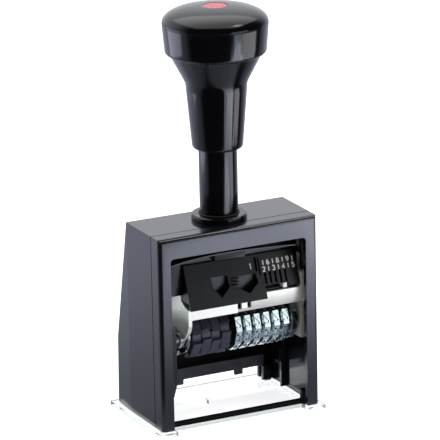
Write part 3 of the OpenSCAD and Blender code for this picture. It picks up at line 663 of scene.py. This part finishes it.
def figure(sign: str, size: float, stroke: float, relief: float, top_share: float = 0.7) -> Surface:
    """A figure's ridges round its own middle.

    Args:
        sign: the figure.
        size: its height.
        stroke: its stroke's width.
        relief: how far it stands out.
        top_share: the stroke's width at the top as a share of the foot's.

    Returns:
        The surface, with points (u, v, height).
    """
    parts = [
        stroke_surface(path * size, sign in CLOSED_FIGURES, stroke / 2, relief, top_share)
        for path in STROKES[sign]
    ]
    return Surface.joined(parts)


def set_out(
    surface: Surface, origin: np.ndarray, right: np.ndarray, up: np.ndarray, out: np.ndarray
) -> Surface:
    """Carries a surface's (u, v, height) points to a plane in space.

    Where right, up and out make a left-handed set, the faces are turned over.

    Args:
        surface: the surface.
        origin: where its middle goes.
        right: the direction of u.
        up: the direction of v.
        out: the direction of height.

    Returns:
        The surface in space.
    """
    axes = np.stack([right, up, out])
    faces = surface.faces
    if np.linalg.det(axes) < 0:
        faces = [list(f)[::-1] for f in faces]
    return Surface(origin + surface.points @ axes, faces)


# ---------- casing ----------


@dataclass
class Casing(SubAssembly):
    """The plastic shell, its front frame, the rail inside and the clear base plate."""

    bezel_edge_mm: float = 0.3
    shell_edge_mm: float = 0.2
    # Faces this far in from the sides and the front, or from the foot and the top, are inside
    skin_mm: float = 1.2
    rim_mm: float = 1.0

    def dull_inside(self, piece: bpy.types.Object) -> None:
        """Gives the faces inside the casing the mould core's dull finish and a darker colour, which is
        painted shade.

        The right wall's inner face is left out: it is polished, and mirrors the wheels.

        Args:
            piece: the shell or the front frame.
        """
        low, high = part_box("rear_shell")
        front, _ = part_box("front_bezel")
        skin, rim = self.skin_mm * MM, self.rim_mm * MM
        mesh = piece.data
        count = len(mesh.polygons)
        centre, normal = np.empty(count * 3), np.empty(count * 3)
        mesh.polygons.foreach_get("center", centre)
        mesh.polygons.foreach_get("normal", normal)
        x, y, z = centre.reshape(-1, 3).T
        faces_x, faces_y, faces_z = normal.reshape(-1, 3).T
        side = (np.abs(x) < high[0] - skin) & (faces_x > 0.5) & (x < 0)
        back = (y > front[1] + skin) & (faces_y < -0.5) & (z < high[2] - rim)
        behind = (y > front[1] + skin) & (faces_y > 0.5) & (y < low[1])
        roof = (faces_z < -0.5) & (z > low[2] + rim)
        # The inside faces take a darker colour: painted shade inside the casing
        mesh.materials.append(Finishes.CASING_INSIDE_PAINTED_SHADE.value.build())
        mesh.polygons.foreach_set("material_index", (side | back | behind | roof).astype(np.int32))
        mesh.update()

    def build(self) -> None:
        """Dresses the casing's nodes."""
        abs_place = Place("casing", "casing_plastic")
        inner = Place("casing", "frame_plastic")
        shell = self.eased_node("rear_shell", Finishes.CASING, abs_place, self.shell_edge_mm, 3)
        bezel = self.eased_node("front_bezel", Finishes.BEZEL, abs_place, self.bezel_edge_mm, 3)
        self.dull_inside(shell)
        self.dull_inside(bezel)
        self.eased_node("rear_rail", Finishes.RAIL, inner, 0.25)
        self.eased_node("base_plate", Finishes.ACRYLIC, Place("casing", "clear_plastic"), 0.2)
        self.eased_node("base_screws", Finishes.AXLE, Place("casing", "axle_steel"), 0.1)
        self.eased_node("cam_plate", Finishes.INNER, inner, 0.15)


# ---------- plunger ----------


@dataclass
class Plunger(SubAssembly):
    """The knob, its grip and shaft, and the collar that guides them."""

    wall_mm: float = 1.6
    outer_edge_mm: float = 0.2
    bore_edge_mm: float = 0.1

    def shaft(self) -> Surface:
        """Builds the hollow shaft: a tube as high and as thick as its CAD node.

        Returns:
            The closed surface.
        """
        (x0, y0, foot), (x1, y1, top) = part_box("plunger_shaft")
        outer = (x1 - x0) / 2
        bore = outer - self.wall_mm * MM
        outer_edge, bore_edge = self.outer_edge_mm * MM, self.bore_edge_mm * MM
        tube = rounded([
            (bore, foot, bore_edge), (outer, foot, outer_edge),
            (outer, top, outer_edge), (bore, top, bore_edge),
        ])
        return revolved(tube, (y0 + y1) / 2)

    def build(self) -> None:
        """Builds the shaft, and dresses the collar, the knob and the grip."""
        grip = Place("carriage", "grip_plastic")
        piece = to_object("plunger_shaft_finished", self.shaft())
        self.dress(piece, Finishes.GRIP, grip, ("plunger_shaft",))
        self.eased_node("shaft_collar", Finishes.GRIP, Place("casing", "grip_plastic"), 0.3, 3)
        self.eased_node("wiper_ring", Finishes.RUBBER, Place("casing", "rubber_seal"), 0.08)
        for node in ("handle_grip", "handle_cap"):
            self.eased_node(node, Finishes.GRIP, grip, 0.2, 3)
        self.eased_node("handle_disc", Finishes.DISC, Place("carriage", "red_plastic"), 0.15, 3)
        self.eased_node("spring_cap", Finishes.AXLE, Place("carriage", "axle_steel"), 0.2)


# ---------- ink cartridge ----------


@dataclass
class InkCartridge(SubAssembly):
    """The cartridge with its sloping front, its scale and the frame that holds it."""

    tilt_deg: float = 20.85
    scale_t_mm: float = 0.5
    notch_v_mm: float = 3.0
    figure_mm: float = 1.7
    stroke_mm: float = 0.42
    print_mm: float = 0.04
    lower_row_mm: float = 10.4
    upper_row_mm: float = 12.9
    # The lone figure: its place across and up the slope, its height and how deep it lies
    lone_mm: tuple[float, float, float] = (8.5, 12.2, 2.0)
    lone_sink_mm: float = 0.9

    def slope(self) -> tuple[np.ndarray, np.ndarray, np.ndarray]:
        """Works out the sloping front's frame from the scale plate's box.

        Returns:
            The point at v = 0 and x = 0, the direction up the slope and the one out of it.
        """
        t = math.radians(self.tilt_deg)
        up = np.array([0, math.sin(t), math.cos(t)])
        out = np.array([0, -math.cos(t), math.sin(t)])
        low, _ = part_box("scale_plate")
        corner = np.array([0, low[1], low[2] + self.scale_t_mm * MM * math.sin(t)])
        return corner - up * self.notch_v_mm * MM, up, out

    def printed(
        self, name: str, signs: Sequence[tuple[str, float, float, float]], sink_mm: float = 0.0
    ) -> None:
        """Prints figures on the sloping front.

        Args:
            name: the piece's name.
            signs: for each figure, the sign, its place along X and up the slope and its height, in mm.
            sink_mm: how far below the slope the printed face lies.
        """
        foot, up, out = self.slope()
        right = np.array([1.0, 0, 0])
        parts = [
            set_out(
                figure(sign, size * MM, self.stroke_mm * MM, self.print_mm * MM, 0.9),
                foot + right * u * MM + up * v * MM - out * sink_mm * MM,
                right, up, out,
            )
            for sign, u, v, size in signs
        ]
        self.dress(to_object(name, Surface.joined(parts)), Finishes.PRINT, Place("casing", "white_plastic"))

    def build(self) -> None:
        """Dresses the cartridge, its frame and pad, and prints the scale."""
        black = Place("casing", "frame_plastic")
        self.eased_node("cartridge_frame", Finishes.INNER, black, 0.15)
        self.eased_node("ink_cartridge", Finishes.CARTRIDGE, black, 0.18)
        self.eased_node("scale_plate", Finishes.CARTRIDGE, black, 0.08)
        self.eased_node("ink_pad", Finishes.FELT, Place("casing", "ink_felt"), 0.2)
        self.eased_node("selector_peg", Finishes.PEG, Place("selector", "white_plastic"), 0.2)
        self.print_scale()

    def print_scale(self) -> None:
        """Prints the scale's two rows, in which figures and strokes take turns, and the one beside it."""
        wide, narrow = (13.4, 17.45, 21.5, 25.5), (15.4, 19.45, 23.5)
        rows = (
            ("2345", wide, self.lower_row_mm), ("|||", narrow, self.lower_row_mm),
            ("689", narrow, self.upper_row_mm), ("||||", wide, self.upper_row_mm),
        )
        signs = [(sign, u, v, self.figure_mm) for row, places, v in rows for sign, u in zip(row, places)]
        self.printed("scale_figures", signs)
        self.printed("scale_figure_one", [("1", *self.lone_mm)], self.lone_sink_mm)


# ---------- stirrup ----------


@dataclass
class Stirrup(SubAssembly):
    """The steel stirrup that carries the printing head down."""

    edge_mm: float = 0.3

    def build(self) -> None:
        """Dresses the stirrup."""
        self.eased_node("stirrup", Finishes.STIRRUP, Place("carriage", "stirrup_steel"), self.edge_mm, 3)


# ---------- printing head ----------


@dataclass
class PrintingHead(SubAssembly):
    """The turning head's own frame: axle, cheeks, rods, combs and drive."""

    def build(self) -> None:
        """Dresses the head's nodes."""
        steel = Place("head", "axle_steel")
        for node in ("axle", "left_cheek", "right_cheek", "rear_rod", "crank_arm"):
            self.eased_node(node, Finishes.AXLE, steel, 0.12)
        for node, finish, slot, width_mm in (
            ("detent_comb", Finishes.SPRING, "spring_steel", 0.08),
            ("axle_clip", Finishes.SPRING, "spring_steel", 0.08),
            ("wheel_spacer", Finishes.INNER, "frame_plastic", 0.15),
            ("drive_ratchet", Finishes.WHEEL, "wheel_metal", 0.12),
            ("cam_roller", Finishes.PEG, "white_plastic", 0.15),
        ):
            self.eased_node(node, finish, Place("head", slot), width_mm)
        self.eased_node("feed_pawl", Finishes.AXLE, Place("feed_pawl", "axle_steel"), 0.1)
        self.eased_node("return_spring", Finishes.SPRING, Place("casing", "spring_steel"), 0.0)


@dataclass
class Wheels(SubAssembly):
    """The printing wheels: six with raised figures, which read backwards, and four with plates."""

    number_wheels: int = 6
    facets: int = 10
    flat_mm: float = 8.75
    type_mm: float = 9.2
    bore_mm: float = 2.05
    rim_mm: float = 2.5
    rim_edge_mm: float = 0.12
    ratchet_mm: float = 7.0
    # Each tooth of the ratchet falls by this share of its radius
    tooth_share: float = 0.1
    figure_mm: float = 3.0
    stroke_mm: float = 0.62
    # The type is let into the rim by this much
    type_root_mm: float = 0.05
    plates: int = 5
    plate_half_mm: float = 3.85
    plate_edge_mm: float = 0.15
    half_type_mm: float = 1.9
    drum_step_mm: float = 0.9
    date_turns_deg: tuple[float, ...] = (54.0, 46.0, 52.0, 36.5)

    def axis(self) -> tuple[float, float]:
        """Returns the axle's (y, z)."""
        low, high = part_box("axle")
        return ((low[1] + high[1]) / 2, (low[2] + high[2]) / 2)

    def facet_angles(self, per_facet: int = 7) -> tuple[np.ndarray, np.ndarray]:
        """Samples the ten facets' directions, each facet from its first edge up to the next one's.

        Args:
            per_facet: points on a facet.

        Returns:
            The angles from upright, and each angle's offset from its facet's middle.
        """
        step = 2 * np.pi / self.facets
        offset = np.linspace(-step / 2, step / 2, per_facet, endpoint=False)
        angle = (np.arange(self.facets)[:, None] * step + offset[None]).ravel()
        return angle, np.tile(offset, self.facets)

    def raised_figures(self, x: float) -> Surface:
        """The ten raised figures round a wheel.

        Figure k stands on the facet k tenths of a turn from upright towards the front. Its
        up runs forwards over the top, so that it prints upright once the head is turned.

        Args:
            x: the figures' middle along the axle.

        Returns:
            All ten in one surface.
        """
        middle, along = np.array([x, *self.axis()]), np.array([1.0, 0, 0])
        base = (self.flat_mm - self.type_root_mm) * MM
        relief = self.type_mm * MM - base
        parts = []
        for k in range(self.facets):
            a = 2 * np.pi * k / self.facets
            out = np.array([0, -math.sin(a), math.cos(a)])
            ahead = np.array([0, math.cos(a), math.sin(a)])
            sign = figure(str(k), self.figure_mm * MM, self.stroke_mm * MM, relief)
            parts.append(set_out(sign, middle + out * base, along, -ahead, out))
        return Surface.joined(parts)

    def wheel_ring(self, stations: Sequence[tuple[float, np.ndarray]], angle: np.ndarray) -> Surface:
        """The wheel's ring through stations along the axle.

        Args:
            stations: for each station, its place along X and its radius at each angle.
            angle: the angles from upright.

        Returns:
            The closed surface.
        """
        xs = np.array([x for x, _ in stations])
        return ring_along_x(xs, np.stack([radii for _, radii in stations]), angle, self.axis())

    def number_wheel(self, index: int) -> None:
        """Builds a metal number wheel: a ten sided rim with type, and a ratchet beside it.

        The rim's radius at an angle is the flat's distance divided by the cosine of the
        angle's offset from its facet's middle.

        Args:
            index: the wheel's number.
        """
        node = f"number_wheel_{index}"
        low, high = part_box(node)
        x0, x1 = low[0], high[0]
        rim_end = x0 + self.rim_mm * MM
        angle, offset = self.facet_angles()
        along_tooth = offset / (2 * np.pi / self.facets) + 0.5
        flat = self.flat_mm * MM / np.cos(offset)
        bore = np.full_like(flat, self.bore_mm * MM)
        ratchet = self.ratchet_mm * MM * (1 - self.tooth_share * along_tooth)
        ease = self.rim_edge_mm * MM
        stations = [
            (x0, bore), (x0, flat - ease), (x0 + ease, flat), (rim_end - ease, flat), (rim_end, flat - ease),
            (rim_end, ratchet), (x1 - ease, ratchet), (x1, ratchet - ease), (x1, bore),
        ]
        parts = [self.wheel_ring(stations, angle), self.raised_figures((x0 + rim_end) / 2)]
        piece = to_object(f"{node}_cast", Surface.joined(parts))
        self.dress(piece, Finishes.WHEEL, Place(node, "wheel_metal"), (node,))

    def date_wheel(self, index: int, turn_deg: float) -> None:
        """Builds a black date wheel: a drum with five broad flat plates that stand apart.

        Within a plate's half width of its middle the radius is the plate's distance divided
        by the cosine of the offset, and the drum's radius elsewhere.

        Args:
            index: the wheel's number.
            turn_deg: how far it is turned.
        """
        node = f"date_wheel_{index}"
        low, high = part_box(node)
        step = 2 * np.pi / self.plates
        # The plates' corners stay just inside the ring that the type's corners turn in
        reach = math.hypot(self.type_mm, self.half_type_mm) - 0.02
        half = math.asin(self.plate_half_mm / reach)
        flank = half + 0.02
        flat, drum = reach * math.cos(half) * MM, (self.flat_mm - self.drum_step_mm) * MM
        offset = np.concatenate([
            np.linspace(-step / 2, -flank, 4), np.linspace(-half, half, 11),
            np.linspace(flank, step / 2, 4, endpoint=False),
        ])
        on_plate = np.abs(offset) <= half + 1e-9
        plate = np.where(on_plate, flat / np.cos(offset), drum)
        turn = math.radians(turn_deg)
        angle = (np.arange(self.plates)[:, None] * step + offset[None]).ravel() + turn
        outer = np.tile(plate, self.plates)
        bore = np.full_like(outer, self.bore_mm * MM)
        ease = self.plate_edge_mm * MM
        stations = [
            (low[0], bore), (low[0], outer - ease), (low[0] + ease, outer),
            (high[0] - ease, outer), (high[0], outer - ease), (high[0], bore),
        ]
        piece = to_object(f"{node}_moulded", self.wheel_ring(stations, angle))
        self.dress(piece, Finishes.DATE_WHEEL, Place(node, "wheel_plastic"), (node,))

    def build(self) -> None:
        """Builds the six number wheels and the four date wheels."""
        for index in range(1, self.number_wheels + 1):
            self.number_wheel(index)
        for index, turn in enumerate(self.date_turns_deg, start=1):
            self.date_wheel(index, turn)


# ---------- studio ----------


def pose(right: np.ndarray, up: np.ndarray, back: np.ndarray, place: np.ndarray | Point) -> Matrix:
    """Works out the matrix of a camera or a lamp, which look along their own -Z.

    Args:
        right: the direction of its X axis.
        up: the direction of its Y axis.
        back: the direction of its Z axis.
        place: where it stands.

    Returns:
        The matrix.
    """
    matrix = np.eye(4)
    matrix[:3] = np.stack([right, up, back, place], 1)
    return Matrix(matrix.tolist())


def around(azimuth_deg: float, distance: float, height: float) -> Point:
    """Works out a place round the plunger.

    Args:
        azimuth_deg: the direction, counted from the front towards the right.
        distance: how far from the middle.
        height: how high over the table.

    Returns:
        The place.
    """
    a = math.radians(azimuth_deg)
    return (distance * math.sin(a), -distance * math.cos(a), height)


@dataclass(frozen=True)
class Softbox:
    """A lamp with a flat rectangular face, in metres.

    Its radiance is how bright the face is, where white paper in full light is 1.
    """

    name: str
    place: Point
    aim: Point
    size: tuple[float, float]
    radiance: float
    tint: str

    def hang(self) -> None:
        """Adds the lamp to the scene."""
        width, height = self.size
        data = bpy.data.lights.new(self.name, "AREA")
        data.shape = "RECTANGLE"
        data.size, data.size_y = width, height
        data.energy = self.radiance * math.pi * width * height
        data.color = linear(self.tint)[:3]
        lamp = bpy.data.objects.new(self.name, data)
        back = np.array(self.place, float) - np.array(self.aim, float)
        back /= np.linalg.norm(back)
        right = np.cross([0, 0, 1], back)
        right /= np.linalg.norm(right)
        lamp.matrix_world = pose(right, np.cross(back, right), back, self.place)
        lamp.visible_camera = False
        bpy.context.scene.collection.objects.link(lamp)


MIDDLE = (0.0, 0.0, 0.06)
SOFTBOXES = (
    Softbox("strip_right", around(51, 0.19, 0.06), MIDDLE, (0.125, 0.095), 2.5, "#fbfbff"),
    Softbox("strip_left", around(-128, 0.3, 0.06), MIDDLE, (0.24, 0.115), 2.2, "#e2e4ff"),
    Softbox("strip_front", around(26, 0.46, 0.137), (0.0, 0.0, 0.035), (0.3, 0.085), 1.35, "#f4fbff"),
    Softbox("edge_light", (0.45, -0.31, 1.06), MIDDLE, (0.22, 0.22), 4.5, "#ffffff"),
    Softbox("top", (0.1, 0.2, 1.3), MIDDLE, (1.9, 1.9), 1.1, "#ffffff"),
    # A card inside the casing, by the left wall, that faces the wheels
    Softbox("inside_card", (-0.0292, 0.004, 0.036), (0.0, 0.004, 0.036), (0.026, 0.024), 1.4, "#e4eef6"),
)


@dataclass
class Studio:
    """Floor, light and camera, which stands where the photograph was taken from."""

    azimuth_rad: float = -0.455285
    elevation_rad: float = 0.295558
    roll_rad: float = -0.0209256
    distance_mm: float = 1386.537
    target_mm: tuple[float, float, float] = (-0.5144, -5.212, 75.3128)
    focal_px: float = 3752.999
    frame_px: int = 440
    sensor_mm: float = 36.0
    # How bright the room is: for soft light, and dark and bright sides in gloss surfaces
    room_soft: float = 0.5
    room_dark: float = 0.03
    room_bright: float = 1.15
    room_span: tuple[float, float] = (-0.1, 0.75)
    # Light that keeps the floor white to the camera
    floor_lift: float = 0.72
    # How bright the table looks in gloss surfaces: in front, beside and behind the object
    table_dark: float = 0.03
    table_near: float = 0.42
    table_bright: float = 0.9
    # Where the table changes, from front to back, in metres
    table_front: tuple[float, float] = (-0.045, 0.02)
    table_rear: tuple[float, float] = (0.0, 0.22)
    # The reflector on the table: its brightness, its direction and its lengths in metres
    reflector_near: float = 0.5
    reflector_far: float = 5.2
    reflector_way: tuple[float, float] = (0.439, -0.898)
    reflector_shift: float = 0.0085
    reflector_rise: tuple[float, float] = (0.05, 0.31)
    reflector_end: tuple[float, float] = (0.33, 0.42)
    reflector_side: tuple[float, float] = (0.045, 0.07)
    reflector_start: tuple[float, float] = (-0.02, 0.0)
    floor_half: float = 3.0
    fibres_per_m: float = 60.0

    def camera(self) -> None:
        """Sets the camera where the photograph was taken from."""
        a, e, r = self.azimuth_rad, self.elevation_rad, self.roll_rad
        back = np.array([math.sin(a) * math.cos(e), -math.cos(a) * math.cos(e), math.sin(e)])
        right = np.cross(-back, [0, 0, 1])
        right /= np.linalg.norm(right)
        up = np.cross(right, -back)
        turned_right = right * math.cos(r) + up * math.sin(r)
        turned_up = -right * math.sin(r) + up * math.cos(r)
        data = bpy.data.cameras.new("camera")
        data.sensor_width = self.sensor_mm
        data.lens = self.focal_px * self.sensor_mm / self.frame_px
        data.clip_start, data.clip_end = 0.05, 20.0
        camera = bpy.data.objects.new("camera", data)
        place = (np.array(self.target_mm) + back * self.distance_mm) * MM
        camera.matrix_world = pose(turned_right, turned_up, back, place)
        bpy.context.scene.collection.objects.link(camera)
        bpy.context.scene.camera = camera

    def world(self) -> None:
        """Makes a dim room whose far side is bright, as round a light table."""
        world = bpy.data.worlds.new("studio")
        bpy.context.scene.world = world
        world.use_nodes = True
        tree = world.node_tree
        tree.nodes.clear()
        way = add_node(tree, "SeparateXYZ", {0: add_node(tree, "TexCoord").outputs["Generated"]})
        far = ramp(tree, way.outputs["Y"], self.room_span, self.room_dark, self.room_bright)
        ray = add_node(tree, "LightPath").outputs
        soft = add_node(tree, "Background", {"Color": linear("#f4f5fa"), "Strength": self.room_soft})
        room = add_node(tree, "Background", {"Color": linear("#f6f8ff"), "Strength": far})
        white = add_node(tree, "Background", {"Color": linear("#ffffff"), "Strength": 1.0})
        clear = math_node(tree, "MAXIMUM", ray["Is Camera Ray"], ray["Is Transmission Ray"])
        gloss = add_node(tree, "MixShader", {0: ray["Is Glossy Ray"], 1: soft.outputs[0], 2: room.outputs[0]})
        mixed = add_node(tree, "MixShader", {0: clear, 1: gloss.outputs[0], 2: white.outputs[0]})
        add_node(tree, "OutputWorld", {"Surface": mixed.outputs[0]})

    def table_glow(self, tree: Tree, place: Socket) -> Socket:
        """Works out how bright the table looks in gloss surfaces.

        Behind the object it is a light table. In front it is dark, apart from one long
        reflector that the front frame mirrors: along runs away from the frame in the
        mirrored camera's direction, and across is square to that.

        Args:
            tree: the floor's node tree.
            place: the point on the floor.

        Returns:
            The brightness.
        """
        depth = add_node(tree, "SeparateXYZ", {0: place}).outputs["Y"]
        near = ramp(tree, depth, self.table_front, self.table_dark, self.table_near)
        far = ramp(tree, depth, self.table_rear, 0.0, self.table_bright - self.table_near)
        table = math_node(tree, "ADD", near, far)
        u, v = self.reflector_way
        along, across = (
            add_node(tree, "VectorMath", {0: place, 1: way}, operation="DOT_PRODUCT").outputs["Value"]
            for way in ((u, v, 0.0), (-v, u, 0.0))
        )
        aside = math_node(tree, "ABSOLUTE", math_node(tree, "ADD", across, self.reflector_shift))
        board = ramp(tree, along, self.reflector_rise, self.reflector_near, self.reflector_far)
        for value, span in (
            (aside, self.reflector_side), (along, self.reflector_end), (depth, self.reflector_start),
        ):
            board = math_node(tree, "MULTIPLY", board, ramp(tree, value, span, 1.0, 0.0))
        return math_node(tree, "ADD", table, board)

    def floor(self) -> None:
        """Lays a pale paper floor that stays white to the camera apart from the shadow."""
        size = self.floor_half
        corners = np.array([[-size, -size, 0], [size, -size, 0], [size, size, 0], [-size, size, 0]], float)
        floor = to_object("floor", Surface(corners, [[0, 1, 2, 3]]))
        material = bpy.data.materials.new("floor_paper")
        material.use_nodes = True
        tree = material.node_tree
        tree.nodes.clear()
        place = add_node(tree, "TexCoord").outputs["Object"]
        fibre = add_node(tree, "TexNoise", {"Vector": place, "Scale": self.fibres_per_m, "Detail": 3.0})
        tone = add_node(
            tree, "Mix", {"Factor": fibre.outputs["Fac"], 6: linear("#f2f2f2"), 7: linear("#f6f6f6")},
            data_type="RGBA",
        )
        paper = add_node(tree, "BsdfDiffuse", {"Color": tone.outputs[2], "Roughness": 0.5})
        ray = add_node(tree, "LightPath").outputs
        clear = math_node(tree, "MAXIMUM", ray["Is Camera Ray"], ray["Is Transmission Ray"])
        lift = math_node(tree, "MULTIPLY", clear, self.floor_lift)
        lifted = add_node(tree, "Emission", {"Color": linear("#ffffff"), "Strength": lift})
        seen = add_node(tree, "AddShader", {0: paper.outputs[0], 1: lifted.outputs[0]})
        glow = self.table_glow(tree, place)
        table = add_node(tree, "Emission", {"Color": linear("#e2e8fc"), "Strength": glow})
        only_gloss = math_node(tree, "SUBTRACT", ray["Is Glossy Ray"], clear, use_clamp=True)
        both = add_node(tree, "MixShader", {0: only_gloss, 1: seen.outputs[0], 2: table.outputs[0]})
        add_node(tree, "OutputMaterial", {"Surface": both.outputs[0]})
        floor.data.materials.append(material)

    def build(self) -> None:
        """Sets up the studio."""
        bpy.context.scene.view_settings.view_transform = "Standard"
        self.camera()
        self.world()
        self.floor()
        for softbox in SOFTBOXES:
            softbox.hang()


def main() -> None:
    """Builds every sub-assembly in order, then the studio."""
    logging.basicConfig(level=logging.INFO, format="%(message)s")
    for group in (Casing(), Plunger(), InkCartridge(), Stirrup(), PrintingHead(), Wheels()):
        LOG.info("building %s", type(group).__name__)
        group.build()
    Studio().build()


if __name__ == "__main__":
    main()
